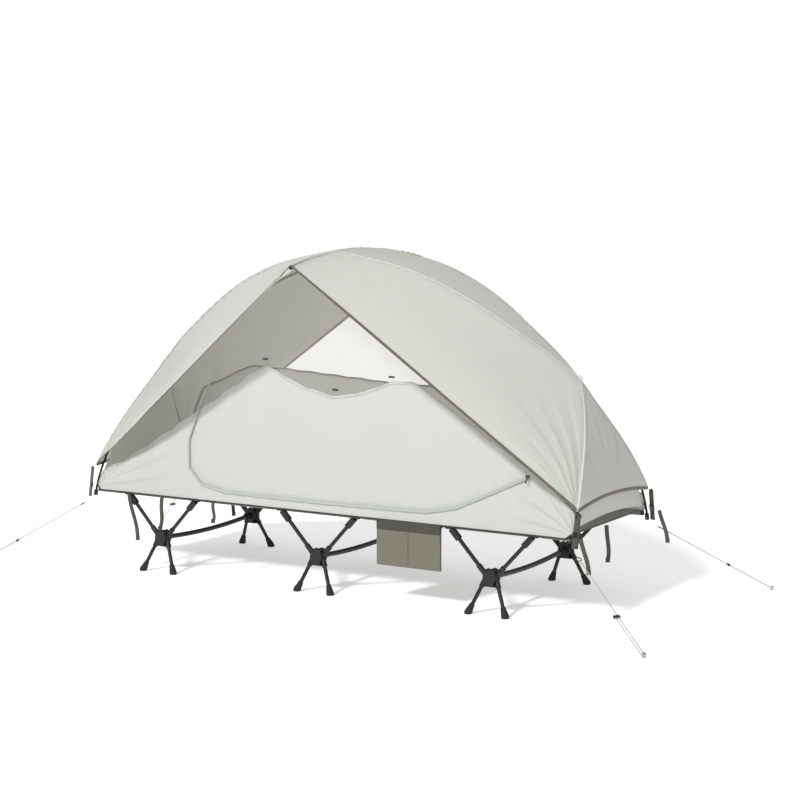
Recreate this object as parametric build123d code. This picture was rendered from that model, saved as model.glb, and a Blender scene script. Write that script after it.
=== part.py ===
from build123d import *
import math
import os

# Folding camp cot that carries a one-person tent.
# Millimetres. +X runs along the cot, -Y is the side that carries the pocket, +Z is up.
# The origin is on the floor, under the middle of the cot.

# ---------- driving dimensions ----------
LENGTH = 2000.0            # side rails, end to end
RAIL_Y = 287.0             # side rail centre line, either side of the middle
RAIL_Z = 289.0
RAIL_R = 8.0
RAIL_WALL = 1.2
RAIL_SECTIONS = 4
FIT = 0.15                 # clearance of a tube in its socket, on the radius
TURN_GAP = 0.3             # clearance where one body turns on another

LEG_X = {"left": -700.0, "middle": 0.0, "right": 700.0}
HUB_Z = 128.0
HUB_DEPTH = 40.0
ARM_SPREAD = 163.0         # arm top, either side of the hub along X
ARM_FOOT_X = 20.0          # where an arm or foot tube starts inside the hub
ARM_R = 7.0
FOOT_SPREAD = 73.0
FOOT_OUT = 33.0            # feet stand this far outside the rail
FOOT_R = 6.8
TIP_R = 14.0
TIP_LENGTH = 38.0
BAR_R = 9.0
BAR_BOW = 12.0             # the crossbar bows down by this much
BAR_HALF = 272.0
TUBE_WALL = 1.0

# tent poles
POLE_R = 4.25
POLE_TOP_Z = 1190.0        # pole centre at mid length
POLE_TOP_Y = 155.0         # the two poles are this far from the middle at the top
CROSS_X = 858.0            # where they cross, near each end
CROSS_Z = 776.0
POLE_END = (1012.0, 300.0, 270.0)
BROW_HALF = 448.0
BROW_DROP = 44.0

# fabric
CLOTH = 1.2                # thickness of a fabric solid
FLY_GAP = 9.0              # fly above the pole's centre line
LEFT_SHORT = 0.0           # the tent stands this much shorter on its -X side
FLY_END = 1.80             # how far along the pole the fly reaches; 2 is the pole's end
FLY_APEX = (0.0, -454.0, 1169.0)
FLY_CORNER = (1020.0, -288.0, 380.0)
BROW_RISE = 12.0           # the fly is lifted this much over the brow pole
BINDING = 12.0             # width of the binding on the fly's edge
DECK_Z = RAIL_Z + RAIL_R + 2.2
WALL_FOOT_Y = 292.0
WALL_FOOT_Z = 304.0
WALL_END = 1.92            # the walls stop short of the corner sockets
UNDER_POLE = 9.5           # the inner tent hangs this far inside the poles' centre lines
# top of the near wall's cloth, as X and Z; mesh goes on above it
CLOTH_TOP = ((-1030, 330), (-919, 403), (-285, 793), (-100, 730), (37, 694), (150, 715),
             (258, 757), (340, 760), (983, 372), (1030, 330))
# the door's zip, as X and Z on the near wall; its last run is straight
ZIP_LINE = ((-525, 764), (-580, 640), (-610, 500), (-585, 400), (-520, 348), (-400, 326),
            (0, 324), (440, 328), (560, 352), (700, 418), (800, 468))
CORNER = (1018.0, -306.0, 258.0)
STRAP_WIDTH = 20.0
STRAP = 1.4

# guylines
CORD_R = 1.8
PEG_X, PEG_Y = 1386.0, 565.0
LINE_GAP = 11.0            # the line and its return, centre to centre
RING_R = 9.0
RING_WIRE = 1.6


# ---------- helpers ----------
def save(name, *solids):
    """Writes the solids of one node."""
    flat = [s for shape in solids for s in shape.solids()]
    export_step(Compound(children=flat), f"parts/{name}.step")


def rod(start, end, radius):
    start, end = Vector(*start), Vector(*end)
    way = end - start
    return Solid.make_cylinder(radius, way.length, Plane(origin=start, z_dir=way.normalized()))


def tube(start, end, radius, wall):
    way = (Vector(*end) - Vector(*start)).normalized()
    inside = rod(Vector(*start) - way, Vector(*end) + way, radius - wall)
    return rod(start, end, radius) - inside


def along(start, end, share):
    return tuple(a + (b - a) * share for a, b in zip(start, end))


def mirrored(solids, about):
    return [s.mirror(about) for s in solids]


def four_corners(solids):
    """Copies of a +X, -Y corner's solids in all four corners."""
    right = solids + mirrored(solids, Plane.XZ)
    return right + mirrored(right, Plane.YZ)


def settle(p):
    """Draws a point of the tent in on the -X side, where it stands shorter."""
    x, y, z = p
    rise = max(0.0, min(1.0, (z - 290.0) / 480.0))
    return (x * (1 - LEFT_SHORT * rise * rise * (3 - 2 * rise)) if x < 0 else x, y, z)


def facet(*points):
    return Face(Wire.make_polygon([Vector(*p) for p in points], close=True))


def outward(p):
    """The way that the tent's cloth faces at a point: the gradient of an oval dome."""
    x, y, z = p
    return Vector(x / 1050 ** 2, y / 420 ** 2, (z - 250) / 900 ** 2).normalized()


def cloth(grid, gap=0.0, thick=CLOTH, way=outward):
    """A closed thin solid that follows a grid of points, lifted off it by gap.

    A row or column whose points meet in one place closes the sheet to a corner there."""
    low = [[Vector(*p) + way(p) * gap for p in row] for row in grid]
    high = [[Vector(*p) + way(p) * (gap + thick) for p in row] for row in grid]
    rows, cols = len(grid), len(grid[0])
    faces = []

    def add(a, b, c):
        if min((a - b).length, (b - c).length, (c - a).length) > 1e-3:
            faces.append(facet(a, b, c))

    for i in range(rows - 1):
        for j in range(cols - 1):
            for g in (low, high):
                add(g[i][j], g[i + 1][j], g[i + 1][j + 1])
                add(g[i][j], g[i + 1][j + 1], g[i][j + 1])
    border = [(0, j) for j in range(cols)] + [(i, cols - 1) for i in range(1, rows)]
    border += [(rows - 1, j) for j in range(cols - 2, -1, -1)]
    border += [(i, 0) for i in range(rows - 2, -1, -1)]
    for (i, j), (k, m) in zip(border[:-1], border[1:]):
        if (low[i][j] - low[k][m]).length > 1e-3:
            add(low[i][j], low[k][m], high[k][m])
            add(low[i][j], high[k][m], high[i][j])
    solid = Solid(Shell(faces))
    return solid if solid.volume > 0 else -solid


# ---------- side rails ----------
def rails():
    piece = LENGTH / RAIL_SECTIONS
    for side, y in (("near", -RAIL_Y), ("far", RAIL_Y)):
        sections = []
        for i in range(RAIL_SECTIONS):
            x = -LENGTH / 2 + i * piece
            sections.append(tube((x + 0.1, y, RAIL_Z), (x + piece - 0.1, y, RAIL_Z), RAIL_R, RAIL_WALL))
        save(f"rail_{side}", *sections)
    inner = RAIL_R - RAIL_WALL - FIT
    ferrules = []
    for y in (-RAIL_Y, RAIL_Y):
        for i in range(1, RAIL_SECTIONS):
            x = -LENGTH / 2 + i * piece
            ferrules.append(tube((x - 45, y, RAIL_Z), (x + 45, y, RAIL_Z), inner, TUBE_WALL))
    save("rail_ferrules", *ferrules)


# ---------- cot fabric: a stretched sheet with a sleeve along each rail ----------
CLIP_WIDTH = 24.0


def clip_places():
    return [x + s * ARM_SPREAD for x in LEG_X.values() for s in (-1, 1)]


def cot_fabric():
    half, sleeve_r = LENGTH / 2 - 4, RAIL_R + TURN_GAP + 1.3
    sheet = Pos(0, 0, DECK_Z - CLOTH / 2) * Box(2 * half, 2 * RAIL_Y, CLOTH)
    body = sheet.solid()
    for y in (-RAIL_Y, RAIL_Y):
        sleeve = tube((-half, y, RAIL_Z), (half, y, RAIL_Z), sleeve_r, 1.3)
        body = body + sleeve
    for y in (-RAIL_Y, RAIL_Y):
        body = body - rod((-half - 1, y, RAIL_Z), (half + 1, y, RAIL_Z), RAIL_R + TURN_GAP)
        for x in clip_places():
            body = body - Pos(x, y, RAIL_Z) * Box(CLIP_WIDTH + 32, 40, 40)
    save("cot_fabric", body)


# ---------- legs: a crossbar with a hub at each end, two arms up, two feet down ----------
def arm_line(side):
    """An arm's centre line in the near hub, from the hub to below the rail."""
    top = (side * ARM_SPREAD, -RAIL_Y, RAIL_Z)
    foot = (side * ARM_FOOT_X, -RAIL_Y, HUB_Z + 6)
    return foot, along(foot, top, 0.90)


def foot_line(side):
    top = (side * ARM_FOOT_X, -RAIL_Y, HUB_Z - 4)
    end = (side * FOOT_SPREAD, -RAIL_Y - FOOT_OUT, 0.0)
    return top, end


def crossbar_path():
    return ThreePointArc((0, -BAR_HALF, HUB_Z), (0, 0, HUB_Z - BAR_BOW), (0, BAR_HALF, HUB_Z)).edge()


def crossbar(radius, wall=0.0):
    path = crossbar_path()
    plane = Plane(origin=path @ 0, z_dir=path % 0)
    ring = plane * Circle(radius)
    if wall:
        ring = plane * (Circle(radius) - Circle(radius - wall))
    return sweep(ring, path=path).solid()


def hub(bar):
    """The near hub: a block with four angled sockets, a socket for the crossbar and a base plate."""
    y = -RAIL_Y
    profile = Polyline((-20, 26), (-8, 22), (4, 30), (22, 24), (25, -6), (16, -28), (-12, -28),
                       (-24, -12), (-20, 26))
    block = extrude(Plane.XZ * make_face(profile), HUB_DEPTH / 2, both=True).solid()
    body = Pos(0, y, HUB_Z) * block
    body = body + Pos(0, y, HUB_Z - 29) * Box(56, HUB_DEPTH - 8, 4)
    body = body + rod((0, y, HUB_Z), (0, y + 44, HUB_Z - 1), BAR_R + 3.5)
    for side in (-1, 1):
        foot, top = arm_line(side)
        body = body + rod(foot, along(foot, top, 0.22), ARM_R + 2.6)
        top, end = foot_line(side)
        body = body + rod(top, along(top, end, 0.24), FOOT_R + 2.6)
    for side in (-1, 1):
        body = body - rod(*arm_line(side), ARM_R + FIT)
        body = body - rod(*foot_line(side), FOOT_R + FIT)
    return (body - bar).solid()


def clip(side):
    """The near clip on an arm: a sleeve on the tube and a cradle that holds the rail from below."""
    foot, top = arm_line(side)
    way = (Vector(*top) - Vector(*foot)).normalized()
    length = (Vector(*top) - Vector(*foot)).length
    rail_end = Vector(side * ARM_SPREAD, -RAIL_Y, RAIL_Z)
    plane = Plane(origin=Vector(*foot) + way * (length - 36), x_dir=(0, 1, 0), z_dir=way)
    sleeve = extrude(plane * RectangleRounded(21, 20, 4), 44).solid()
    body = sleeve + rod(rail_end - Vector(CLIP_WIDTH / 2, 0, 0), rail_end + Vector(CLIP_WIDTH / 2, 0, 0),
                        RAIL_R + 3.4)
    body = body - rod(rail_end - Vector(30, 0, 0), rail_end + Vector(30, 0, 0), RAIL_R + TURN_GAP)
    body = body - Pos(rail_end.X, rail_end.Y, RAIL_Z + 21) * Box(80, 60, 40)
    return (body - rod(*arm_line(side), ARM_R + FIT)).solids().sort_by(SortBy.VOLUME)[-1]


def foot_tip(side):
    """A bulb-shaped rubber tip, cut level with the floor."""
    top, end = foot_line(side)
    way = (Vector(*top) - Vector(*end)).normalized()
    plane = Plane(origin=Vector(*end) - way * 4, z_dir=way)
    profile = make_face(Polyline((0, 0), (10, 0), (TIP_R, 6), (TIP_R - 0.8, 16), (10.2, 32),
                                 (9.0, TIP_LENGTH + 4), (0, TIP_LENGTH + 4), (0, 0)))
    bulb = revolve(Plane.XZ * profile, Axis.Z).solid()
    tip = plane.location * bulb
    tip = tip - Pos(end[0], end[1], -20) * Box(80, 80, 40)
    return (tip - rod(along(end, top, 0.07), top, FOOT_R + 0.02)).solid()


def legs():
    bar_cut = crossbar(BAR_R + FIT)
    bar = crossbar(BAR_R, TUBE_WALL)
    near_hub = hub(bar_cut)
    sides = (-1, 1)
    arms = [tube(*arm_line(s), ARM_R, TUBE_WALL) for s in sides]
    clips = [clip(s) for s in sides]
    feet = [tube(foot_line(s)[0], along(*foot_line(s), 0.925), FOOT_R, TUBE_WALL) for s in sides]
    tips = [foot_tip(s) for s in sides]
    groups = {"hubs": [near_hub], "arms": arms, "rail_clips": clips, "feet": feet, "foot_tips": tips}
    for leg, x in LEG_X.items():
        save(f"crossbar_{leg}", Pos(x, 0, 0) * bar)
        for name, near in groups.items():
            both = near + mirrored(near, Plane.XZ)
            save(f"{name}_{leg}", *[Pos(x, 0, 0) * s for s in both])


# ---------- tent poles ----------
def pole_half(t):
    """A point of the pole that ends in the +X, -Y corner: t is 0 at mid length, 1 at the crossing
    and 2 at the corner. It passes over the +Y side of the tent's top."""
    if t <= 1:
        return (CROSS_X * t, POLE_TOP_Y * (1 - t * t), POLE_TOP_Z - (POLE_TOP_Z - CROSS_Z) * t * t)
    v = t - 1
    start = (CROSS_X, 0.0, CROSS_Z)
    end = (POLE_END[0], -POLE_END[1], POLE_END[2])
    leave, arrive = (300.0, -108.0, -290.0), (0.0, -120.0, -585.0)
    h00, h10 = 2 * v ** 3 - 3 * v ** 2 + 1, v ** 3 - 2 * v ** 2 + v
    h01, h11 = -2 * v ** 3 + 3 * v ** 2, v ** 3 - v ** 2
    return tuple(h00 * a + h10 * m + h01 * b + h11 * n
                 for a, m, b, n in zip(start, leave, end, arrive))


def pole_point(t, side):
    """t runs from -2 to 2. side -1 gives the pole whose ends are on the -Y side."""
    x, y, z = pole_half(abs(t))
    return (math.copysign(x, t) if t else 0.0, -side * y, z)


POLE_CUTS = (-2.0, -1.42, -0.78, -0.26, 0.26, 0.78, 1.42, 2.0)
CROSS_LIFT = 2 * POLE_R + 5.0


def shifted(p, by):
    away = outward(p)
    return (p[0] + away.X * by, p[1] + away.Y * by, p[2] + away.Z * by)


def at_cross(t):
    """1 at a crossing, falling to 0 on both sides of it."""
    return math.exp(-((abs(t) - 1) / 0.16) ** 2)


def lifted(t, side):
    """The +Y pole passes over the other one at both crossings."""
    p = pole_point(t, side)
    return settle(shifted(p, CROSS_LIFT * at_cross(t)) if side > 0 else p)


def bent_tube(points, radius):
    path = Spline(*points).edge()
    return sweep(Plane(origin=path @ 0, z_dir=path % 0) * Circle(radius), path=path).solid()


def brow_point(share):
    """The brow pole's centre line, from -1 on the -Y side to 1. It lies on top of the poles."""
    return (0.0, BROW_HALF * share, POLE_TOP_Z + 2 * POLE_R + 1.2 - BROW_DROP * (share * share - 0.12))


def poles():
    ferrules = []
    for name, side in (("near", -1), ("far", 1)):
        sections = []
        for a, b in zip(POLE_CUTS[:-1], POLE_CUTS[1:]):
            n = 19 if at_cross((a + b) / 2) > 0.1 else 9
            points = [lifted(a + (b - a) * (0.004 + 0.992 * i / (n - 1)), side) for i in range(n)]
            sections.append(bent_tube(points, POLE_R))
        save(f"tent_pole_{name}", *sections)
        for t in POLE_CUTS[1:-1]:
            a, b = Vector(*lifted(t - 0.022, side)), Vector(*lifted(t + 0.022, side))
            ferrules.append(tube(a, b, POLE_R + 1.2, 0.8))
    save("pole_ferrules", *ferrules)
    save("brow_pole", bent_tube([brow_point(-1 + 2 * i / 10) for i in range(11)], POLE_R))


def pole_fittings():
    """Swivel clips at the crossings, tips of the brow pole and sockets at the poles' ends."""
    clips, labels = [], []
    for end in (1, -1):
        near, over = Vector(*lifted(end, -1)), Vector(*lifted(end, 1))
        axis, away = (over - near).normalized(), outward(pole_point(end, -1))
        body = rod(near + axis * 4, over - axis * 4, 4.2)
        cuts = []
        for side, middle in ((-1, near), (1, over)):
            way = (Vector(*lifted(1.01 * end, side)) - Vector(*lifted(0.99 * end, side))).normalized()
            body = body + rod(middle - way * 8, middle + way * 8, POLE_R + 2.1)
            cuts.append(rod(middle - way * 12, middle + way * 12, POLE_R + 0.55))
        for cut in cuts:
            body = body - cut
        clips.append(body.solid())
        top = over + away * 17
        down = Vector(end * away.Z, 0, -abs(away.X))
        labels.append(ribbon([top + Vector(0, 10, 0) - down * 4, top + Vector(0, 10, 0) + down * 18],
                             Vector(0, 1, 0), 14, 1.0, away))
    save("crossing_clips", *clips)
    save("label_tabs", *labels)

    end, before = Vector(*brow_point(1)), Vector(*brow_point(0.98))
    way = (end - before).normalized()
    tip = rod(end - way * 8, end + way * 2.5, POLE_R + 1.3) - rod(end - way * 12, end + way * 0.1, POLE_R + 0.15)
    save("brow_tips", tip.solid(), tip.solid().mirror(Plane.XZ))

    end, before = Vector(*pole_point(2, -1)), Vector(*pole_point(1.96, -1))
    way = (end - before).normalized()
    cup = rod(end - way * 16, end + way * 5, POLE_R + 3.4) - rod(end - way * 20, end + way * 0.2, POLE_R + 0.5)
    save("corner_sockets", *four_corners([cup.solid()]))


# ---------- strips and sheets ----------
def bands(point, breaks, shares, gap=0.0, joint=0.0006):
    """Cloth cut into bands between the breaks: point(t, s) is on it, and each band is one solid."""
    made = []
    for a, b in zip(breaks[:-1], breaks[1:]):
        ts = (a + joint, (a + b) / 2, b - joint)
        made.append(cloth([[point(t, s) for t in ts] for s in shares], gap))
    return made


def end_bands(point, breaks, shares):
    """The bands of both end panels; point gives the +X one."""
    def left(t, s):
        x, y, z = point(t, s)
        return settle((-x, y, z))
    return bands(point, breaks, shares) + bands(left, breaks, shares)


def both_ways(half):
    """Breaks at 0 and at both signs of the others."""
    return [-t for t in half[:0:-1]] + half


def ribbon(points, across, width, thick, face):
    """A flat strip along a line; face is the way that its thickness grows."""
    across = across.normalized() * (width / 2)
    grid = [[p - across, p + across] for p in points]
    return cloth(grid, 0.0, thick, lambda p: face)


def steps(start, end, count):
    return [start + (end - start) * i / count for i in range(count + 1)]


def lerp(a, b, share):
    return tuple(p + (q - p) * share for p, q in zip(a, b))


# ---------- fly ----------
def fly_seam(t):
    """The fly's line over the nearest pole on the -Y side."""
    x, y, z = pole_half(abs(t))
    rise = FLY_GAP + (CROSS_LIFT + 3) * at_cross(t)
    x, y, z = shifted((x, -abs(y), z), rise)
    reach = max(0.0, (abs(t) - 1) / (FLY_END - 1)) ** 3
    last = shifted((pole_half(FLY_END)[0], -abs(pole_half(FLY_END)[1]), pole_half(FLY_END)[2]), FLY_GAP)
    x, y, z = (v + (c - e) * reach for v, c, e in zip((x, y, z), FLY_CORNER, last))
    return (math.copysign(x, t) if t else 0.0, y, z + BROW_RISE * math.exp(-(t / 0.10) ** 2))


def fly_point(t, s):
    """A point of the fly's near side: s is 0 on the pole seam and 1 on the open edge."""
    share = abs(t) / FLY_END
    edge = lerp(FLY_APEX, FLY_CORNER, share)
    edge = (math.copysign(edge[0], t) if t else 0.0, edge[1], edge[2])
    x, y, z = lerp(fly_seam(t), edge, s)
    return settle((x, y, z + 4 * s * (1 - s) * 6.0 * math.exp(-(t / 0.08) ** 2)))


def fly():
    half = [0.0, 0.03, 0.14, 0.3, 0.46, 0.62, 0.78, 0.9, 1.0, 1.12, 1.28, 1.46, 1.64, FLY_END]
    ts = both_ways([0.0, 0.012, 0.06] + steps(0.14, 0.86, 8) + steps(0.92, 1.08, 3) + steps(1.16, 1.7, 6))
    near = bands(fly_point, both_ways(half), (0.006, 0.5, 1.0))
    save("fly_near", *near)
    save("fly_far", *mirrored(near, Plane.XZ))

    def roof_point(t, s):
        x, y, z = fly_seam(t)
        return settle((x, y * (1 - 2 * s), z + 4 * s * (1 - s) * (5.0 + 4.0 * (1 - abs(t)))))
    save("fly_roof", *bands(roof_point, both_ways([0.0, 0.03, 0.14, 0.3, 0.46, 0.62, 0.78, 0.9, 0.96]),
                            (0.004, 0.2, 0.5, 0.8, 0.996)))

    def end_point(t, s):
        x, y, z = fly_seam(t)
        low = ((t - 1) / (FLY_END - 1)) ** 2 * 4 * s * (1 - s)
        return (x - 6 * low, y * (1 - 2 * s), z + 22 * low)
    save("fly_ends", *end_bands(end_point, [1.03, 1.12, 1.28, 1.46, 1.64, FLY_END],
                                (0.006, 0.25, 0.5, 0.75, 0.994)))

    def binding_point(t, side):
        a, b = Vector(*fly_point(t, 1)), Vector(*fly_point(t, 0.9))
        p = a + (b - a).normalized() * (BINDING if side else 0.0)
        return (p.X, p.Y, p.Z)
    edge = [t for t in ts if abs(t) < 1.7]
    strip = cloth([[binding_point(t, side) for t in edge] for side in (0, 1)], CLOTH + 2.0)
    save("fly_binding", strip, strip.mirror(Plane.XZ))


# ---------- inner tent ----------
def wall_top(t):
    x, y, z = pole_half(abs(t))
    x, y, z = shifted((x, -abs(y), z), -UNDER_POLE)
    return (math.copysign(x, t) if t else 0.0, y, z)


def wall_foot(t):
    """The wall's lower edge, level above the rail and a little further out at the corners."""
    x = wall_top(t)[0]
    return (x, -WALL_FOOT_Y - 4 * max(0.0, (abs(x) - 930) / 82), WALL_FOOT_Z)


def wall_point(t, s):
    return settle(lerp(wall_foot(t), wall_top(t), s))


def height_of(line, x):
    for (xa, za), (xb, zb) in zip(line[:-1], line[1:]):
        if xa <= x <= xb:
            return za + (zb - za) * (x - xa) / (xb - xa)
    return line[-1][1]


def share_at(t, z):
    low, high = wall_foot(t)[2], wall_top(t)[2]
    return min(0.9, max(0.1, (z - low) / (high - low)))


def on_wall(x, z, by):
    """The point of the near wall at x and z, moved outwards."""
    x = x / (settle((-1.0, 0.0, z))[0] / -1.0) if x < 0 else x
    low, high = 0.0, WALL_END
    for _ in range(40):
        mid = (low + high) / 2
        low, high = (mid, high) if wall_top(mid)[0] < abs(x) else (low, mid)
    t = math.copysign(low, x)
    foot, top = wall_foot(t), wall_top(t)
    p = lerp(foot, top, (z - foot[2]) / (top[2] - foot[2]))
    return Vector(*shifted(settle(p), by))


def inner_tent():
    def share_of(t):
        return share_at(t, height_of(CLOTH_TOP, settle((wall_top(t)[0], 0.0, 600.0))[0]))

    half = steps(0.0, 0.9, 6) + [1.0, 1.14, 1.3, 1.5, 1.7, WALL_END]
    ts = both_ways(steps(0.0, 0.9, 9) + [0.96, 1.04] + steps(1.14, WALL_END, 7))
    lower = bands(lambda t, k: wall_point(t, share_of(t) * k), both_ways(half), (0.0, 1.0))
    upper = bands(lambda t, k: wall_point(t, share_of(t) + 0.006 + (0.976 - share_of(t)) * k),
                  both_ways(half), (0.0, 1.0))
    save("inner_walls", *lower, *mirrored(lower, Plane.XZ))

    def roof_point(t, s):
        x, y, z = wall_top(t)
        return settle((x, y * 0.93 * (1 - 2 * s), z - 3))
    roof = bands(roof_point, both_ways([0.0, 0.2, 0.4, 0.6, 0.78, 0.93]), (0.0, 1.0), -CLOTH)
    save("inner_mesh", *upper, *mirrored(upper, Plane.XZ), *roof)

    def end_point(t, s):
        x, y, z = wall_top(t)
        low = ((t - 1) / (WALL_END - 1)) ** 2 * 4 * s * (1 - s)
        return (x - 2.5 - 3 * low, (y + 4.5) * (1 - 2 * s), z + 16 * low)
    save("inner_ends", *end_bands(end_point, [1.1, 1.2, 1.35, 1.5, 1.7, WALL_END], (0.0, 0.25, 0.5, 0.75, 1.0)))
    save("inner_floor", Pos(0, 0, DECK_Z + 1.6) * Box(1976, 564, CLOTH))
    edge = cloth([[wall_point(t, (1 + 6 * k) / (wall_top(t)[2] - WALL_FOOT_Z))
                   for t in ts if abs(t) < 1.75]
                  for k in (0, 1)], CLOTH + 2.0)
    save("inner_binding", edge, edge.mirror(Plane.XZ))


ZIP_OUT = CLOTH + 5.5      # the zip's tape stands this far off the wall's inner face


def door():
    line = []
    for (xa, za), (xb, zb) in zip(ZIP_LINE[:-1], ZIP_LINE[1:]):
        if (xb, zb) != ZIP_LINE[-1]:
            for k in range(4):
                line.append(on_wall(xa + (xb - xa) * k / 4, za + (zb - za) * k / 4, ZIP_OUT))
    start, end = on_wall(*ZIP_LINE[-2], ZIP_OUT + 3), on_wall(*ZIP_LINE[-1], ZIP_OUT + 4)
    line += [start + (end - start) * (k / 4) for k in range(5)]
    grid = []
    for i, p in enumerate(line):
        way = (line[min(i + 1, len(line) - 1)] - line[max(i - 1, 0)]).normalized()
        side = way.cross(outward((p.X, p.Y, p.Z))).normalized() * 5
        grid.append([p - side, p + side])
    save("door_zip", cloth(grid, 0.0, 1.4))

    at, way = zip_run()
    along_x = on_wall(at.X + 20, at.Z, ZIP_OUT) - on_wall(at.X - 20, at.Z, ZIP_OUT)
    up = (on_wall(at.X, at.Z + 10, ZIP_OUT) - on_wall(at.X, at.Z - 30, ZIP_OUT)).normalized()
    face = along_x.cross(up).normalized()
    plane = Plane(origin=at + face * 6.0, x_dir=up.cross(face), z_dir=face)
    body = extrude(plane * RectangleRounded(13, 10, 2.5), 3.0).solid()
    pull = Plane(origin=at + face * 8.7 - up * 13, x_dir=up.cross(face), z_dir=face)
    body = body + extrude(pull * RectangleRounded(5, 26, 2.2), 1.4)
    save("zip_slider", body.solid())

    toggles = []
    for x, z in ((37, 720), (258, 775), (-285, 812)):
        p = on_wall(x, z, CLOTH + 4.6)
        toggles.append(rod(p - Vector(11, 0, 0), p + Vector(11, 0, 0), 3.2))
    save("toggles", *toggles)


def zip_run():
    """Where the slider starts and the way it runs: down the zip's last straight length."""
    a, b = on_wall(*ZIP_LINE[-2], ZIP_OUT + 3), on_wall(*ZIP_LINE[-1], ZIP_OUT + 4)
    at = a + (b - a) * 0.94
    return at, (a - b).normalized()


# ---------- storage pocket ----------
POCKET_X = (258.0, 512.0)
POCKET_LOW = 130.0
POCKET_DEEP = 11.0


def pocket():
    x0, x1 = POCKET_X
    mid, wide = (x0 + x1) / 2, x1 - x0
    loop_r = RAIL_R + TURN_GAP + 1.3 + TURN_GAP + CLOTH
    y = -RAIL_Y - loop_r
    loop = tube((x0, -RAIL_Y, RAIL_Z), (x1, -RAIL_Y, RAIL_Z), loop_r, CLOTH)
    loop = loop - Pos(mid, -RAIL_Y, RAIL_Z + 21) * Box(wide + 4, 60, 40)
    loop = loop - Pos(mid, -RAIL_Y + 20, RAIL_Z) * Box(wide + 4, 40, 60)
    high = RAIL_Z + 1 - POCKET_LOW
    back = Pos(mid, y + CLOTH / 2, POCKET_LOW + high / 2) * Box(wide, CLOTH, high)
    deep = high - 26
    bag = Pos(mid, y - POCKET_DEEP / 2 + CLOTH, POCKET_LOW + deep / 2) * Box(wide, POCKET_DEEP, deep)
    hole = Pos(mid, y - POCKET_DEEP / 2 + CLOTH, POCKET_LOW + deep / 2 + CLOTH)
    bag = bag - hole * Box(wide - 2 * CLOTH, POCKET_DEEP - 2 * CLOTH, deep)
    save("storage_pocket", (loop + back + bag).solid())


# ---------- corner straps, buckles and rings ----------
def strap_line(end):
    """The near strap at end 1 (+X) or -1, from under the fly's corner to the tent's corner."""
    x, y, z = settle((end * FLY_CORNER[0], FLY_CORNER[1], FLY_CORNER[2]))
    return Vector(x + end * 7, y - 9, z - 28), Vector(end * (CORNER[0] + 8), CORNER[1] - 10, CORNER[2] + 6)


def strap_frame(end):
    """The strap's direction, its width and its face."""
    top, foot = strap_line(end)
    way = (foot - top).normalized()
    across = Vector(0.78 * end, 0.62, 0)
    across = (across - way * across.dot(way)).normalized()
    return way, across, across.cross(way).normalized() * end


def torus(middle, way, radius, wire):
    return Solid.make_torus(radius, wire, Plane(origin=middle, z_dir=way.normalized()))


def straps():
    pieces, rings = [], []
    for end, name in ((1, "right"), (-1, "left")):
        top, foot = strap_line(end)
        way, across, face = strap_frame(end)
        half = face * (STRAP / 2)
        pieces.append(ribbon([top - half, foot - half], across, STRAP_WIDTH, STRAP, face))
        tail = foot + way * 1.0 + face * 3.2
        low = tail + Vector(5 * end, -3, -52)
        pieces.append(ribbon([tail, tail + Vector(4 * end, -3, -26), low], across, 14, 1.2, face))
        middle = top + (foot - top) * 0.52
        plane = Plane(origin=middle - way * 9, x_dir=across, z_dir=way)
        ring = extrude(plane * RectangleRounded(28, 8, 2), 18).solid()
        ring = (ring - extrude(plane * Rectangle(STRAP_WIDTH + 1, STRAP + 0.9), 18)).solid()
        save(f"strap_buckle_near_{name}", ring)
        save(f"strap_buckle_far_{name}", ring.mirror(Plane.XZ))
        rings.append(torus(top + Vector(end, -1, 15), across.cross(Vector(0, 0, 1)), RING_R, RING_WIRE))
    save("corner_straps", *pieces, *mirrored(pieces, Plane.XZ))
    start, way, side = guyline_frame()
    low = torus(start - way * (RING_R + RING_WIRE + 0.4), side.cross(way), RING_R, RING_WIRE)
    save("corner_rings", *rings, *mirrored(rings, Plane.XZ), *four_corners([low]))


# ---------- guylines ----------
def guyline_frame():
    """Where the near right line starts, its direction and the level way across it."""
    start = Vector(CORNER[0] + 38, CORNER[1] - 34, CORNER[2] - 30)
    peg = Vector(PEG_X, -PEG_Y, 7.0)
    way = (peg - start).normalized()
    side = way.cross(Vector(0, 0, 1)).normalized()
    return start, way, side


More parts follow.
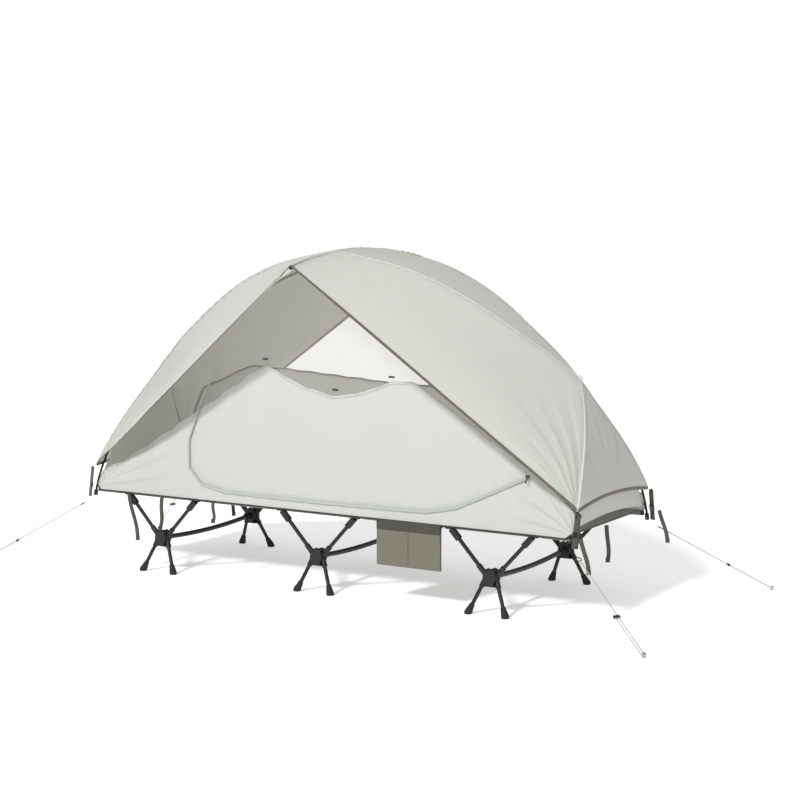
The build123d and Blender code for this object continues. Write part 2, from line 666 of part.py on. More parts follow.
def guylines():
    start, way, side = guyline_frame()
    long = (Vector(PEG_X, -PEG_Y, 7.0) - start).length
    back = long * 0.40
    up = side.cross(way)
    up = up if up.Z > 0 else -up
    end = start + way * long
    turn = end + side * (LINE_GAP / 2) + way * (LINE_GAP / 2)
    home = end + side * LINE_GAP
    tail = home - way * (back + 14)
    path = Wire([Line(start, end).edge(), ThreePointArc(end, turn, home).edge(), Line(home, tail).edge()])
    cord = sweep(Plane(origin=start, z_dir=way) * Circle(CORD_R), path=path).solid()
    peg_middle = end + side * (LINE_GAP / 2)
    peg_r = LINE_GAP / 2 - CORD_R - 0.1
    peg = rod(peg_middle - up * 30, peg_middle + up * 9, peg_r)
    peg = peg + rod(peg_middle + up * 4, peg_middle + up * 9, peg_r + 3)
    peg = (peg - Pos(peg_middle.X, peg_middle.Y, -30) * Box(200, 200, 60)).solid()
    middle = end - way * back + side * (LINE_GAP / 2)
    plane = Plane(origin=middle - way * 4, x_dir=side, z_dir=way)
    bar = extrude(plane * RectangleRounded(24, 9, 3), 8).solid()
    for gap in (-LINE_GAP / 2, LINE_GAP / 2):
        bar = bar - rod(middle + side * gap - way * 9, middle + side * gap + way * 9, CORD_R + 0.3)
    bar = bar.solid()
    for side_name, y in (("near", 1), ("far", -1)):
        for end_name, x in (("right", 1), ("left", -1)):
            for name, solid in (("guyline", cord), ("line_tensioner", bar)):
                made = solid.mirror(Plane.XZ) if y < 0 else solid
                made = made.mirror(Plane.YZ) if x < 0 else made
                save(f"{name}_{side_name}_{end_name}", made)
    save("pegs", *four_corners([peg]))


def end_caps():
    caps = []
    for y in (-RAIL_Y, RAIL_Y):
        cap = rod((LENGTH / 2 - 12, y, RAIL_Z), (LENGTH / 2, y, RAIL_Z), RAIL_R - RAIL_WALL - 0.05)
        cap = cap + rod((LENGTH / 2, y, RAIL_Z), (LENGTH / 2 + 3, y, RAIL_Z), RAIL_R + 1)
        caps += [cap.solid(), cap.solid().mirror(Plane.YZ)]
    save("rail_end_caps", *caps)


# ---------- build ----------
os.makedirs("parts", exist_ok=True)
rails()
end_caps()
cot_fabric()
legs()
poles()
pole_fittings()
fly()
inner_tent()
door()
pocket()
straps()
guylines()
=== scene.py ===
import bpy
import math
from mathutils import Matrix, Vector, noise


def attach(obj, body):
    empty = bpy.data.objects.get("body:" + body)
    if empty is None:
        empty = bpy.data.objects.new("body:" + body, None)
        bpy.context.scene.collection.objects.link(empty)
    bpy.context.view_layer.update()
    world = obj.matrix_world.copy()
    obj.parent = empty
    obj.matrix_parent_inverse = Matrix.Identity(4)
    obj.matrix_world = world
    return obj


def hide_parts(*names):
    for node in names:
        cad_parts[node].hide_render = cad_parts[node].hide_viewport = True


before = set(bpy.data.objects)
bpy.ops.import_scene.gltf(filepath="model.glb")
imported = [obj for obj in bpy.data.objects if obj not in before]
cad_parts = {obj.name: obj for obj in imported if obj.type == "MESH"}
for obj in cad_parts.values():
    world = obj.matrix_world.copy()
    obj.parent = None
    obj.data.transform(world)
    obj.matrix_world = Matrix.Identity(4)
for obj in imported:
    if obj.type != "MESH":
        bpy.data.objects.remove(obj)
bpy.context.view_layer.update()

# ---------- camera ----------
cam_data = bpy.data.cameras.new("camera")
cam_data.sensor_width = 36
cam_data.lens = 84.2
cam_data.clip_end = 60
cam = bpy.data.objects.new("camera", cam_data)
bpy.context.collection.objects.link(cam)
yaw, pitch = math.radians(31.014), math.radians(6.486)
back = Vector((math.sin(yaw) * math.cos(pitch), -math.cos(yaw) * math.cos(pitch), math.sin(pitch)))
cam.location = (3.638, -5.772, 1.437)
cam.rotation_mode = "QUATERNION"
cam.rotation_quaternion = (-back).to_track_quat("-Z", "Y")
bpy.context.scene.camera = cam


# ---------- materials ----------
def shader(name):
    mat = bpy.data.materials.new(name)
    mat.use_nodes = True
    nodes, links = mat.node_tree.nodes, mat.node_tree.links
    return mat, nodes, links, nodes["Principled BSDF"]


def bump_from(nodes, links, principled, height, strength, distance):
    bump = nodes.new("ShaderNodeBump")
    bump.inputs["Strength"].default_value = strength
    bump.inputs["Distance"].default_value = distance
    links.new(height, bump.inputs["Height"])
    links.new(bump.outputs["Normal"], principled.inputs["Normal"])
    return bump


def object_coords(nodes):
    return nodes.new("ShaderNodeTexCoord").outputs["Object"]


def noise_texture(nodes, links, coords, scale, detail=3.0):
    tex = nodes.new("ShaderNodeTexNoise")
    tex.inputs["Scale"].default_value = scale
    tex.inputs["Detail"].default_value = detail
    links.new(coords, tex.inputs["Vector"])
    return tex


def plain(name, color, rough, metal=0.0, grain=120.0, depth=0.0003, spec=0.5):
    mat, nodes, links, p = shader(name)
    p.inputs["Base Color"].default_value = (*color, 1)
    p.inputs["Roughness"].default_value = rough
    p.inputs["Metallic"].default_value = metal
    p.inputs["Specular IOR Level"].default_value = spec
    tex = noise_texture(nodes, links, object_coords(nodes), grain)
    bump_from(nodes, links, p, tex.outputs["Fac"], 0.35, depth)
    return mat


def thin_cloth(name, color, rough, through, tint, see=0.0, weave=0.0):
    """Cloth that lets light through; see is the share of it that is open, as in a mesh."""
    mat, nodes, links, p = shader(name)
    out = nodes["Material Output"]
    coords = object_coords(nodes)
    big = noise_texture(nodes, links, coords, 5.0, 4.0)
    mix = nodes.new("ShaderNodeMix")
    mix.data_type = "RGBA"
    links.new(big.outputs["Fac"], mix.inputs["Factor"])
    mix.inputs["A"].default_value = (*[c * 0.95 for c in color], 1)
    mix.inputs["B"].default_value = (*color, 1)
    links.new(mix.outputs["Result"], p.inputs["Base Color"])
    p.inputs["Roughness"].default_value = rough
    p.inputs["Sheen Weight"].default_value = 0.15
    fine = noise_texture(nodes, links, coords, weave or 260.0, 2.0)
    bump = bump_from(nodes, links, p, fine.outputs["Fac"], 0.25, 0.0004)
    light = nodes.new("ShaderNodeBsdfTranslucent")
    light.inputs["Color"].default_value = (*tint, 1)
    links.new(bump.outputs["Normal"], light.inputs["Normal"])
    both = nodes.new("ShaderNodeMixShader")
    both.inputs["Fac"].default_value = through
    links.new(p.outputs["BSDF"], both.inputs[1])
    links.new(light.outputs["BSDF"], both.inputs[2])
    last = both
    if see:
        clear = nodes.new("ShaderNodeBsdfTransparent")
        last = nodes.new("ShaderNodeMixShader")
        last.inputs["Fac"].default_value = see
        links.new(both.outputs["Shader"], last.inputs[1])
        links.new(clear.outputs["BSDF"], last.inputs[2])
    links.new(last.outputs["Shader"], out.inputs["Surface"])
    return mat


def woven(name, color, rough=0.85, rib=900.0):
    mat, nodes, links, p = shader(name)
    coords = object_coords(nodes)
    tex = noise_texture(nodes, links, coords, rib, 2.0)
    ramp = nodes.new("ShaderNodeMix")
    ramp.data_type = "RGBA"
    links.new(tex.outputs["Fac"], ramp.inputs["Factor"])
    ramp.inputs["A"].default_value = (*[c * 0.6 for c in color], 1)
    ramp.inputs["B"].default_value = (*[min(1, c * 1.35) for c in color], 1)
    links.new(ramp.outputs["Result"], p.inputs["Base Color"])
    p.inputs["Roughness"].default_value = rough
    p.inputs["Sheen Weight"].default_value = 0.2
    bump_from(nodes, links, p, tex.outputs["Fac"], 0.6, 0.0006)
    return mat


M = {
    "fly": thin_cloth("fly_nylon", (0.74, 0.755, 0.71), 0.6, 0.42, (0.76, 0.77, 0.71)),
    "fly_seam": thin_cloth("fly_seam", (0.70, 0.72, 0.66), 0.6, 0.10, (0.6, 0.6, 0.55)),
    "wall": thin_cloth("wall_nylon", (0.74, 0.75, 0.715), 0.6, 0.35, (0.76, 0.76, 0.72)),
    "mesh": thin_cloth("insect_mesh", (0.62, 0.60, 0.55), 0.8, 0.35, (0.62, 0.60, 0.55), 0.70, 700.0),
    "brown": woven("brown_binding", (0.155, 0.125, 0.095)),
    "black_tape": woven("black_tape", (0.02, 0.02, 0.02)),
    "olive": woven("olive_webbing", (0.070, 0.070, 0.048)),
    "deck": woven("deck_weave", (0.165, 0.160, 0.125), 0.9, 500.0),
    "pocket": woven("pocket_weave", (0.150, 0.146, 0.112), 0.9, 420.0),
    "pocket_band": woven("pocket_band", (0.052, 0.050, 0.038), 0.9, 420.0),
    "floor": woven("tent_floor", (0.25, 0.25, 0.23), 0.8, 500.0),
    "zip": thin_cloth("zip_tape", (0.42, 0.46, 0.40), 0.7, 0.05, (0.4, 0.4, 0.4)),
    "tube": plain("black_anodised", (0.010, 0.0105, 0.012), 0.36, 0.0, 60.0, 0.00005, 0.4),
    "pole": plain("dark_pole", (0.020, 0.020, 0.021), 0.3, 0.7, 60.0, 0.00005),
    "silver": plain("silver_ferrule", (0.50, 0.50, 0.49), 0.32, 1.0, 400.0, 0.00005),
    "moulded": plain("moulded_charcoal", (0.011, 0.0115, 0.013), 0.5, 0.0, 350.0, 0.00012, 0.4),
    "rubber": plain("foot_rubber", (0.022, 0.022, 0.023), 0.75, 0.0, 200.0, 0.0002, 0.3),
    "gloss": plain("gloss_black", (0.015, 0.015, 0.016), 0.25, 0.0, 200.0, 0.00005),
    # painted shade: the cord is white, but its colour is darkened to grey to stand in for the shade on the thin
    # line
    "cord": woven("white_cord_painted_grey_shade", (0.40, 0.40, 0.385), 0.8, 1200.0),
    "label": plain("white_label", (0.78, 0.78, 0.75), 0.7, 0.0, 900.0, 0.0002),
    "stitch": plain("stitching", (0.06, 0.06, 0.045), 0.9, 0.0, 900.0, 0.0002),
}


def paint(obj, *names):
    obj.data.materials.clear()
    for name in names:
        obj.data.materials.append(M[name])


# ---------- mesh helpers ----------
def mesh_object(name, verts, faces, *materials, smooth=True):
    data = bpy.data.meshes.new(name)
    data.from_pydata([tuple(v) for v in verts], [], faces)
    data.update()
    obj = bpy.data.objects.new(name, data)
    bpy.context.collection.objects.link(obj)
    paint(obj, *materials)
    if smooth:
        data.shade_smooth()
    return obj


def grid_object(name, grid, *materials, flip=False, closed=False):
    rows, cols = len(grid), len(grid[0])
    verts = [p for row in grid for p in row]
    faces = []
    for i in range(rows - 1 + (1 if closed else 0)):
        for j in range(cols - 1):
            k = (i + 1) % rows
            quad = (i * cols + j, i * cols + j + 1, k * cols + j + 1, k * cols + j)
            faces.append(quad[::-1] if flip else quad)
    return mesh_object(name, verts, faces, *materials)


def steps(start, end, count):
    return [start + (end - start) * i / count for i in range(count + 1)]


def ease(x):
    x = max(0.0, min(1.0, x))
    return x * x * (3 - 2 * x)


def flip_y(p):
    return Vector((p[0], -p[1], p[2]))


def flip_x(p):
    return Vector((-p[0], p[1], p[2]))


ROOT = "cot_and_tent"

# ---------- the tent's lines, in metres ----------
POLE_TOP_Z, POLE_TOP_Y = 1.190, 0.155
CROSS_X, CROSS_Z = 0.858, 0.776
POLE_END = (1.012, 0.300, 0.270)
FLY_END = 1.80
FLY_GAP = 0.009
CROSS_LIFT = 0.0135
FLY_APEX = Vector((0.0, -0.454, 1.169))
FLY_CORNER = Vector((1.020, -0.288, 0.380))
BROW_RISE = 0.012
WALL_FOOT_Y, WALL_FOOT_Z, WALL_END = 0.292, 0.304, 1.92
UNDER_POLE = 0.0095


def outward(p):
    return Vector((p[0] / 1.050 ** 2, p[1] / 0.420 ** 2, (p[2] - 0.250) / 0.900 ** 2)).normalized()


def pole_half(t):
    if t <= 1:
        drop = POLE_TOP_Z - CROSS_Z
        return Vector((CROSS_X * t, POLE_TOP_Y * (1 - t * t), POLE_TOP_Z - drop * t * t))
    v = t - 1
    start = Vector((CROSS_X, 0, CROSS_Z))
    end = Vector((POLE_END[0], -POLE_END[1], POLE_END[2]))
    leave, arrive = Vector((0.300, -0.108, -0.290)), Vector((0, -0.120, -0.585))
    h00, h10 = 2 * v ** 3 - 3 * v ** 2 + 1, v ** 3 - 2 * v ** 2 + v
    h01, h11 = -2 * v ** 3 + 3 * v ** 2, v ** 3 - v ** 2
    return start * h00 + leave * h10 + end * h01 + arrive * h11


def at_cross(t):
    return math.exp(-((abs(t) - 1) / 0.16) ** 2)


LAST = pole_half(FLY_END)
LAST = Vector((LAST.x, -abs(LAST.y), LAST.z))
LAST = LAST + outward(LAST) * FLY_GAP


def signed(p, t):
    return Vector((math.copysign(p.x, t) if t else 0.0, p.y, p.z))


def fly_seam(t):
    p = pole_half(abs(t))
    p = Vector((p.x, -abs(p.y), p.z))
    p = p + outward(p) * (FLY_GAP + (CROSS_LIFT + 0.003) * at_cross(t))
    p = p + (FLY_CORNER - LAST) * max(0.0, (abs(t) - 1) / (FLY_END - 1)) ** 3
    p.z += BROW_RISE * math.exp(-(t / 0.10) ** 2)
    return signed(p, t)


def fly_base(t, s):
    share = abs(t) / FLY_END
    edge = signed(FLY_APEX.lerp(FLY_CORNER, share), t)
    p = fly_seam(t).lerp(edge, s)
    p.z += 0.024 * s * (1 - s) * math.exp(-(t / 0.08) ** 2)
    return p


def crease(angle, count):
    """Folds that fan out of a point: two waves laid over each other."""
    wave = math.sin(angle * count) + 0.5 * math.sin(angle * count * 2.3 + 1.1)
    return wave / 1.5


# ---------- fly ----------
POLE_RUN = 0.62      # length of pole per unit of t, roughly
SEAM_WAVES = 235     # puckers along the pole seams


def fly_point(t, s):
    p = fly_base(t, s)
    a, b = fly_seam(t), signed(FLY_APEX.lerp(FLY_CORNER, abs(t) / FLY_END), t)
    wide = (b - a).length
    from_seam, from_edge = wide * s, wide * (1 - s)
    corner = signed(FLY_CORNER, t or 1)
    to_corner, to_apex = (p - corner).length, (p - FLY_APEX).length
    run = abs(t) * POLE_RUN
    # the cloth between two tight edges sinks in a little
    lift = -0.010 * math.sin(math.pi * s) * ease(abs(t) / 0.35) * min(1.0, wide / 0.25)
    # puckers along the stitched seam over the pole
    lift += (0.0027 * math.exp(-from_seam / 0.034) * math.sin(run * SEAM_WAVES + 2.0 * noise.noise(p * 9))
             * ease(from_seam / 0.004))
    lift += 0.0010 * math.exp(-from_edge / 0.022) * math.sin(run * 170 + 1.0)
    # tension folds out of the corner and out of the apex
    fan = math.atan2(from_seam, max(0.02, to_corner))
    lift += (0.0085 * math.exp(-((to_corner - 0.16) / 0.22) ** 2) * crease(fan + 0.05 * noise.noise(p * 3), 38)
             * ease(from_seam / 0.02) * ease(from_edge / 0.02))
    turn = math.atan2(abs(p.x), max(0.02, abs(p.y - FLY_APEX.y)))
    lift += 0.0050 * math.exp(-to_apex / 0.17) * crease(turn, 15) * ease(to_apex / 0.05)
    # brow pole: cloth stands proud over it and dips on both sides
    lift += 0.0018 * math.exp(-(p.x / 0.06) ** 2) * math.sin(s * 46) * ease(s * 4) * ease((1 - s) * 6)
    lift += 0.004 * noise.noise(p * 4.0) * ease(from_seam / 0.08) * ease(from_edge / 0.08)
    return p + outward(p) * lift


def columns(end, dense):
    half = [end * (i / dense) for i in range(1, dense + 1)]
    return [-t for t in half[::-1]] + [0.0] + half


T_FLY = columns(FLY_END - 0.0001, 150)
fly_grid = [[fly_point(t, s) for t in T_FLY] for s in [ease(k / 46) * 0.5 + k / 92 for k in range(47)]]
for side, turn in (("near", None), ("far", flip_y)):
    grid = [[turn(p) for p in row] for row in fly_grid] if turn else fly_grid
    obj = grid_object(f"fly_{side}_cloth", grid, "fly", flip=bool(turn))
    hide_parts(f"fly_{side}")
    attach(obj, ROOT)


def roof_point(t, s):
    p = fly_seam(t)
    wide = 2 * abs(p.y)
    y = p.y * (1 - 2 * s)
    z = p.z + 4 * s * (1 - s) * (0.005 + 0.004 * (1 - abs(t)))
    q = Vector((p.x, y, z))
    edge = min(s, 1 - s) * wide
    lift = 0.0028 * math.exp(-edge / 0.032) * math.sin(abs(t) * POLE_RUN * SEAM_WAVES + 0.7) * ease(edge / 0.004)
    lift += 0.0015 * math.exp(-(p.x / 0.05) ** 2) * math.sin(s * 40) * ease(edge / 0.02)
    lift += 0.003 * noise.noise(q * 5.0) * ease(edge / 0.05)
    q.z += lift
    return q


roof_grid = [[roof_point(t, s) for t in columns(0.985, 110)] for s in steps(0, 1, 26)]
roof = grid_object("fly_roof_cloth", roof_grid, "fly")
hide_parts("fly_roof")
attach(roof, ROOT)


def end_point(t, s):
    p = fly_seam(t)
    share = (t - 1) / (FLY_END - 1)
    low = share ** 2 * 4 * s * (1 - s)
    q = Vector((p.x - 0.006 * low, p.y * (1 - 2 * s), p.z + 0.022 * low))
    edge = min(s, 1 - s) * 2 * abs(p.y)
    fan = math.atan2(abs(q.y), q.z - 0.2)
    lift = (0.0040 * crease(fan * 1.5 + 0.1 * noise.noise(q * 4), 9) * ease(edge / 0.05)
            * math.sin(math.pi * min(1, share * 1.1)))
    lift += 0.0014 * math.exp(-edge / 0.025) * math.sin(share * 120) * ease(edge / 0.004)
    q.x += lift
    return q


end_grid = [[end_point(t, s) for t in steps(1.004, FLY_END, 60)] for s in steps(0, 1, 44)]
for name, turn in (("right", None), ("left", flip_x)):
    grid = [[turn(p) for p in row] for row in end_grid] if turn else end_grid
    obj = grid_object(f"fly_end_{name}", grid, "fly", flip=bool(turn))
    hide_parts("fly_ends")
    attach(obj, ROOT)


def strip(name, line, wide, way, material, thick=0.0012, lift=0.0):
    """A flat tape along a line of points; way(i) is across it and up(i) is off the cloth."""
    grid = []
    for i, p in enumerate(line):
        tangent = (line[min(i + 1, len(line) - 1)] - line[max(i - 1, 0)]).normalized()
        up = way(p, tangent)
        across = tangent.cross(up).normalized() * (wide / 2)
        base = p + up * lift
        low, high = base - across, base + across
        grid.append([low, low + up * thick, high + up * thick, high, low])
    return grid_object(name, grid, material)


def out_of(p, tangent):
    up = outward(p)
    return (up - tangent * up.dot(tangent)).normalized()


def binding_inside(t):
    """The share across the cloth at which the binding's inner edge lies."""
    return 1.0 - 0.011 / max(0.02, (fly_seam(t) - fly_point(t, 1.0)).length)


# seams over the poles and over the brow, and the binding on the open edges
for side, turn in (("near", None), ("far", flip_y)):
    def place(p):
        return turn(p) if turn else p
    line = [place(fly_seam(t)) for t in columns(FLY_END - 0.02, 140)]
    seam = strip(f"fly_seam_{side}", line, 0.009, out_of, "fly_seam", 0.0006, 0.0004)
    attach(seam, ROOT)
    edge = [place(fly_point(t, 1.0)) for t in columns(FLY_END - 0.01, 120)]
    inner = [place(fly_point(t, binding_inside(t))) for t in columns(FLY_END - 0.01, 120)]
    grid = []
    for a, b in zip(edge, inner):
        up = outward(a) * 0.0014
        grid.append([b + up, a + up, a - up, b - up, b + up])
    bind = grid_object(f"fly_binding_{side}", grid, "brown", flip=bool(turn))
    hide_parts("fly_binding")
    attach(bind, ROOT)
    brow = [place(fly_point(0.0, s)) for s in steps(0.02, 0.985, 40)]
    seam = strip(f"brow_seam_{side}", brow, 0.012, out_of, "fly_seam", 0.0008, 0.0004)
    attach(seam, ROOT)
brow = [roof_point(0.0, s) for s in steps(0.0, 1.0, 30)]
seam = strip("brow_seam_top", brow, 0.012, out_of, "fly_seam", 0.0008, 0.0004)
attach(seam, ROOT)
for name, turn in (("right", None), ("left", flip_x)):
    line = [end_point(FLY_END - 0.0001, s) for s in steps(0.01, 0.99, 40)]
    line = [turn(p) for p in line] if turn else line
    hem = strip(f"fly_end_hem_{name}", line, 0.012, lambda p, tan: Vector((math.copysign(1, p.x), 0, 0)),
                "brown", 0.0014, -0.0007)
    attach(hem, ROOT)


# ---------- inner tent ----------
def wall_top(t):
    p = pole_half(abs(t))
    p = Vector((p.x, -abs(p.y), p.z))
    return signed(p - outward(p) * UNDER_POLE, t)


def wall_foot(t):
    x = wall_top(t).x
    return Vector((x, -WALL_FOOT_Y - 0.004 * max(0.0, (abs(x) - 0.930) / 0.082), WALL_FOOT_Z))


CLOTH_TOP = ((-1.030, 0.330), (-0.919, 0.403), (-0.285, 0.793), (-0.200, 0.757), (-0.100, 0.722),
             (0.037, 0.694), (0.150, 0.715), (0.258, 0.757), (0.340, 0.760), (0.983, 0.372), (1.030, 0.330))


def height_of(line, x):
    for (xa, za), (xb, zb) in zip(line[:-1], line[1:]):
        if xa <= x <= xb:
            return za + (zb - za) * (x - xa) / (xb - xa)
    return line[-1][1]


CLOTH_TOP_FAR = ((-1.030, 0.330), (-0.950, 0.410), (-0.800, 0.650), (-0.600, 0.745), (0.000, 0.700),
                 (0.100, 0.700), (0.450, 0.690), (0.983, 0.372), (1.030, 0.330))


def share_at(t, z):
    low, high = wall_foot(t).z, wall_top(t).z
    return min(0.9, max(0.1, (z - low) / (high - low)))


def wall_point(t, s):
    return wall_foot(t).lerp(wall_top(t), s)


def wall_cloth(t, k, line=CLOTH_TOP):
    """k is 0 at the foot and 1 at the seam under the mesh; the foot hangs over the rail as a hem."""
    top = share_at(t, height_of(line, wall_top(t).x))
    p = wall_point(t, top * k)
    lift = 0.0030 * noise.noise(Vector((p.x * 6, k * 2, 3.0))) * ease(k * 6)
    lift += 0.0022 * math.sin(p.x * 95 + 3 * noise.noise(p * 4)) * math.exp(-k / 0.12) * ease(k * 20)
    inset = 1.02 - abs(p.x)
    lift += 0.0058 * crease(math.atan2(p.z - 0.30, inset), 22) * math.exp(-inset / 0.25) * ease(k * 8)
    sag = 0.0030 * math.sin(p.x * 60 + k * 4) * math.exp(-(1 - k) / 0.15)
    q = p + outward(p) * (lift + sag)
    hem = ease(1 - k / 0.07) * ease((1.010 - abs(p.x)) / 0.03)
    return q + Vector((0, -0.0105 * hem, -0.017 * hem))


def wall_mesh(t, k, line=CLOTH_TOP):
    top = share_at(t, height_of(line, wall_top(t).x))
    p = wall_point(t, top + (0.985 - top) * k)
    return p + outward(p) * (0.003 * noise.noise(p * 5) - 0.006 * math.sin(math.pi * k))


T_WALL = columns(WALL_END, 110)
for side, turn, line in (("near", None, CLOTH_TOP), ("far", flip_y, CLOTH_TOP_FAR)):
    def place(p):
        return turn(p) if turn else p
    cloth_grid = [[wall_cloth(t, k, line) for t in T_WALL] for k in [(i / 40) ** 1.35 for i in range(41)]]
    mesh_grid = [[wall_mesh(t, k, line) for t in T_WALL] for k in steps(0, 1, 24)]
    for name, grid, mat, node, slot in (("cloth", cloth_grid, "wall", "inner_walls", "inner_white"),
                                        ("mesh", mesh_grid, "mesh", "inner_mesh", "mesh_grey")):
        placed = [[place(p) for p in row] for row in grid]
        obj = grid_object(f"inner_{name}_{side}", placed, mat, flip=bool(turn))
        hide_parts(node)
        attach(obj, ROOT)
    tape = strip(f"mesh_seam_{side}", [place(wall_cloth(t, 1.0, line)) for t in T_WALL], 0.010, out_of,
                 "brown" if turn else "wall", 0.0010, 0.0008)
    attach(tape, ROOT)
    hem_line = [place(wall_cloth(t, 0.0, line) + Vector((0, 0, 0.002))) for t in T_WALL]
    tape = strip(f"wall_binding_{side}", hem_line,
                 0.0055, lambda p, tan: Vector((0, math.copysign(1, p.y), 0)), "black_tape", 0.0012, 0.0004)
    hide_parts("inner_binding")
    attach(tape, ROOT)


def inner_roof(t, s):
    p = wall_top(t)
    sag = 0.004 * 4 * s * (1 - s)
    return Vector((p.x, p.y * 0.985 * (1 - 2 * s), p.z - 0.004 - sag))


inner_grid = [[inner_roof(t, s) for t in columns(0.97, 70)] for s in steps(0, 1, 14)]
obj = grid_object("inner_mesh_roof", inner_grid, "mesh")
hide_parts("inner_mesh")
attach(obj, ROOT)


def inner_end(t, s):
    p = wall_top(t)
    share = (t - 1) / (WALL_END - 1)
    low = share ** 2 * 4 * s * (1 - s)
    q = Vector((p.x - 0.0025 - 0.003 * low, (p.y + 0.002) * (1 - 2 * s), p.z + 0.016 * low))
    q.x += 0.002 * noise.noise(q * 7)
    return q


for name, turn in (("right", None), ("left", flip_x)):
    grid = [[inner_end(t, s) for t in steps(1.03, WALL_END, 40)] for s in steps(0, 1, 30)]
    grid = [[turn(p) for p in row] for row in grid] if turn else grid
    obj = grid_object(f"inner_end_{name}", grid, "wall", flip=bool(turn))
    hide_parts("inner_ends")
    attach(obj, ROOT)


# ---------- guylines ----------
PEG = Vector((1.386, -0.565, 0.007))
GUY = Vector((1.056, -0.340, 0.228))
LINE_GAP = 0.011
CORD_R = 0.0018
way = (PEG - GUY).normalized()
across = way.cross(Vector((0, 0, 1))).normalized()
long = (PEG - GUY).length
back_run = long * 0.40 + 0.014
for side, fy in (("near", 1), ("far", -1)):
    for name, fx in (("right", 1), ("left", -1)):
        middle = PEG + across * (LINE_GAP / 2)
        line = [GUY.lerp(PEG, k) for k in steps(0, 1, 24)]
        for k in range(1, 16):
            a = math.pi * k / 16
            line.append(middle - across * (math.cos(a) * LINE_GAP / 2) + way * (math.sin(a) * LINE_GAP / 2))
        home = PEG + across * LINE_GAP
        line += [home - way * (back_run * k) for k in steps(0, 1, 14)]
        line = [Vector((p.x * fx, p.y * fy, p.z)) for p in line]
        curve = bpy.data.curves.new(f"guyline_{side}_{name}_cord", "CURVE")
        curve.dimensions = "3D"
        spline = curve.splines.new("NURBS")
        spline.points.add(len(line) - 1)
        for point, p in zip(spline.points, line):
            point.co = (*p, 1)
        spline.order_u = 3
        spline.use_endpoint_u = True
        curve.bevel_depth = CORD_R
        curve.bevel_resolution = 4
        curve.use_fill_caps = True
        obj = bpy.data.objects.new(f"guyline_{side}_{name}_cord", curve)
        bpy.context.collection.objects.link(obj)
        paint(obj, "cord")
        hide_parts(f"guyline_{side}_{name}")
        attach(obj, ROOT)


# ---------- straps' loose tails ----------
def tail(name, top, foot, wide=0.014, sway=0.004):
    """A webbing end that hangs down, with a slight bow and a folded-over tip."""
    top, foot = Vector(top), Vector(foot)
    line = [top.lerp(foot, k) + Vector((sway * math.sin(math.pi * k), -sway * math.sin(2 * math.pi * k), 0))
            for k in steps(0, 1, 14)]
    obj = strip(name, line, wide, lambda p, tan: Vector((0.52, -0.85, 0)), "olive", 0.0016, 0.0)
    end = line[-1]
    fold = strip(name + "_fold", [end + Vector((0, 0, 0.016)), end], wide + 0.001,
                 lambda p, tan: Vector((0.52, -0.85, 0)), "olive", 0.0034, -0.0006)
    for piece in (obj, fold):
        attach(piece, ROOT)


for side, fy in (("near", 1), ("far", -1)):
    tail(f"tail_{side}_left", (-0.8445, -0.3060 * fy, 0.2840), (-0.8046, -0.3070 * fy, 0.1110))
    tail(f"tail_{side}_left_inner", (-0.6869, -0.3060 * fy, 0.2850), (-0.6987, -0.3070 * fy, 0.1590))
    tail(f"tail_{side}_left_short", (-0.4501, -0.3060 * fy, 0.2850), (-0.4513, -0.3070 * fy, 0.2090), 0.012)
    tail(f"tail_{side}_right", (1.0480, -0.3220 * fy, 0.2980), (1.0800, -0.3260 * fy, 0.1830))
    for name, end in (("left", -1), ("right", 1)):
        high = Vector(((FLY_CORNER.x + 0.006) * end, (FLY_CORNER.y - 0.010) * fy, FLY_CORNER.z - 0.006))
        low = Vector((1.026 * end, -0.317 * fy, 0.262))
        outer = Vector((0.30 * end, -0.95 * fy, 0.05)).normalized()
        obj = strip(f"corner_webbing_{side}_{name}", [high.lerp(low, k) for k in steps(0, 1, 10)], 0.020,
                    lambda p, tan, outer=outer: outer, "olive", 0.0016, -0.0008)
        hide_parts("corner_straps")
        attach(obj, ROOT)
tail("tail_right_end", (1.0080, -0.0350, 0.2960), (1.0100, -0.0260, 0.1660))


# ---------- pocket: dark band along its mouth and a stitched middle ----------
def box_piece(name, low, high, material):
    corners = [(x, y, z) for x in (low[0], high[0]) for y in (low[1], high[1]) for z in (low[2], high[2])]
    faces = [(0, 1, 3, 2), (4, 6, 7, 5), (0, 4, 5, 1), (2, 3, 7, 6), (0, 2, 6, 4), (1, 5, 7, 3)]
    return mesh_object(name, corners, faces, material, smooth=False)


ends = [Vector(c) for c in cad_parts["storage_pocket"].bound_box]
p_low = Vector([min(c[i] for c in ends) for i in range(3)])
p_high = Vector([max(c[i] for c in ends) for i in range(3)])
middle = (p_low.x + p_high.x) / 2
BAND = 0.034
behind = p_low.y + 0.0002
for name, low, high, material in (
        ("pocket_band", (p_low.x, p_low.y - 0.0012, p_high.z - BAND), (p_high.x, behind, p_high.z), "pocket_band"),
        ("pocket_stitch", (middle - 0.0009, p_low.y - 0.0005, p_low.z + 0.004),
         (middle + 0.0009, behind, p_high.z - BAND), "stitch")):
    obj = box_piece(name, low, high, material)
    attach(obj, "storage_pocket")


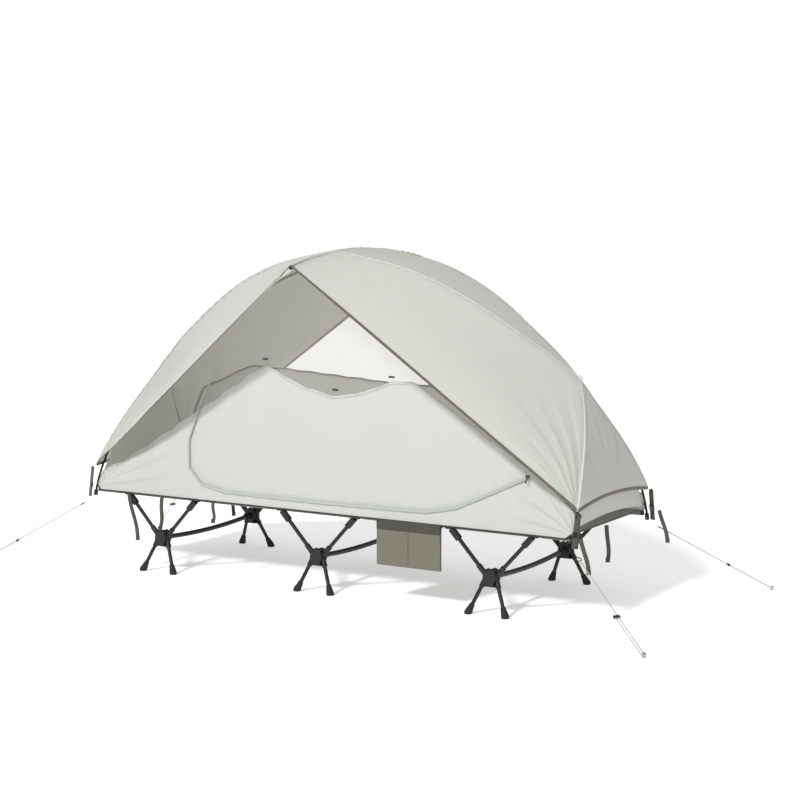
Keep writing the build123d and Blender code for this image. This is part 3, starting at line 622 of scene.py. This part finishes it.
# ---------- what the CAD nodes wear ----------
WEAR = (("crossbar", "tube"), ("arms", "tube"), ("feet", "tube"), ("rail_ferrules", "silver"),
        ("rail_end_caps", "moulded"), ("rail_clips", "moulded"), ("rail_", "tube"), ("hubs", "moulded"),
        ("foot_tips", "rubber"), ("cot_fabric", "deck"), ("storage_pocket", "pocket"),
        ("pole_ferrules", "silver"), ("tent_pole", "pole"), ("brow_pole", "pole"), ("brow_tips", "moulded"),
        ("crossing_clips", "moulded"), ("corner_sockets", "moulded"), ("door_zip", "zip"),
        ("zip_slider", "moulded"), ("toggles", "gloss"), ("corner_straps", "olive"),
        ("corner_rings", "gloss"), ("strap_buckle", "gloss"), ("line_tensioner", "gloss"),
        ("inner_floor", "floor"), ("pegs", "silver"), ("label_tabs", "label"))
for node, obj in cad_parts.items():
    for start, name in WEAR:
        if node.startswith(start):
            paint(obj, name)
            break

# ---------- floor and light ----------
bpy.ops.mesh.primitive_plane_add(size=30, location=(0, 0, 0))
floor = bpy.context.object
floor.name = "studio_floor"
mat, nodes, links, p = shader("studio_white")
p.inputs["Base Color"].default_value = (0.95, 0.95, 0.95, 1)
p.inputs["Roughness"].default_value = 1.0
p.inputs["Specular IOR Level"].default_value = 0.0
p.inputs["Emission Color"].default_value = (1, 1, 1, 1)
p.inputs["Emission Strength"].default_value = 0.38
floor.data.materials.append(mat)

world = bpy.data.worlds.new("studio")
bpy.context.scene.world = world
world.use_nodes = True
world.node_tree.nodes["Background"].inputs["Color"].default_value = (1, 1, 1, 1)
world.node_tree.nodes["Background"].inputs["Strength"].default_value = 0.5


bpy.ops.mesh.primitive_uv_sphere_add(segments=64, ring_count=32, radius=14, location=(0, 0, 0))
sky = bpy.context.object
sky.name = "studio_backdrop"
mat, nodes, links, p = shader("backdrop_white")
p.inputs["Base Color"].default_value = (0, 0, 0, 1)
p.inputs["Specular IOR Level"].default_value = 0.0
p.inputs["Emission Color"].default_value = (1, 1, 1, 1)
p.inputs["Emission Strength"].default_value = 1.0
sky.data.materials.append(mat)
for ray in ("diffuse", "glossy", "transmission", "shadow"):
    setattr(sky, "visible_" + ray, False)

sun_data = bpy.data.lights.new("sun", "SUN")
sun_data.energy, sun_data.angle = 2.2, math.radians(7)
sun = bpy.data.objects.new("sun", sun_data)
bpy.context.collection.objects.link(sun)
sun.rotation_mode = "QUATERNION"
sun.rotation_quaternion = Vector((0.15, 1.2, -1.0)).to_track_quat("-Z", "Y")
scene = bpy.context.scene
scene.view_settings.view_transform = "Standard"
scene.view_settings.exposure = 0.0
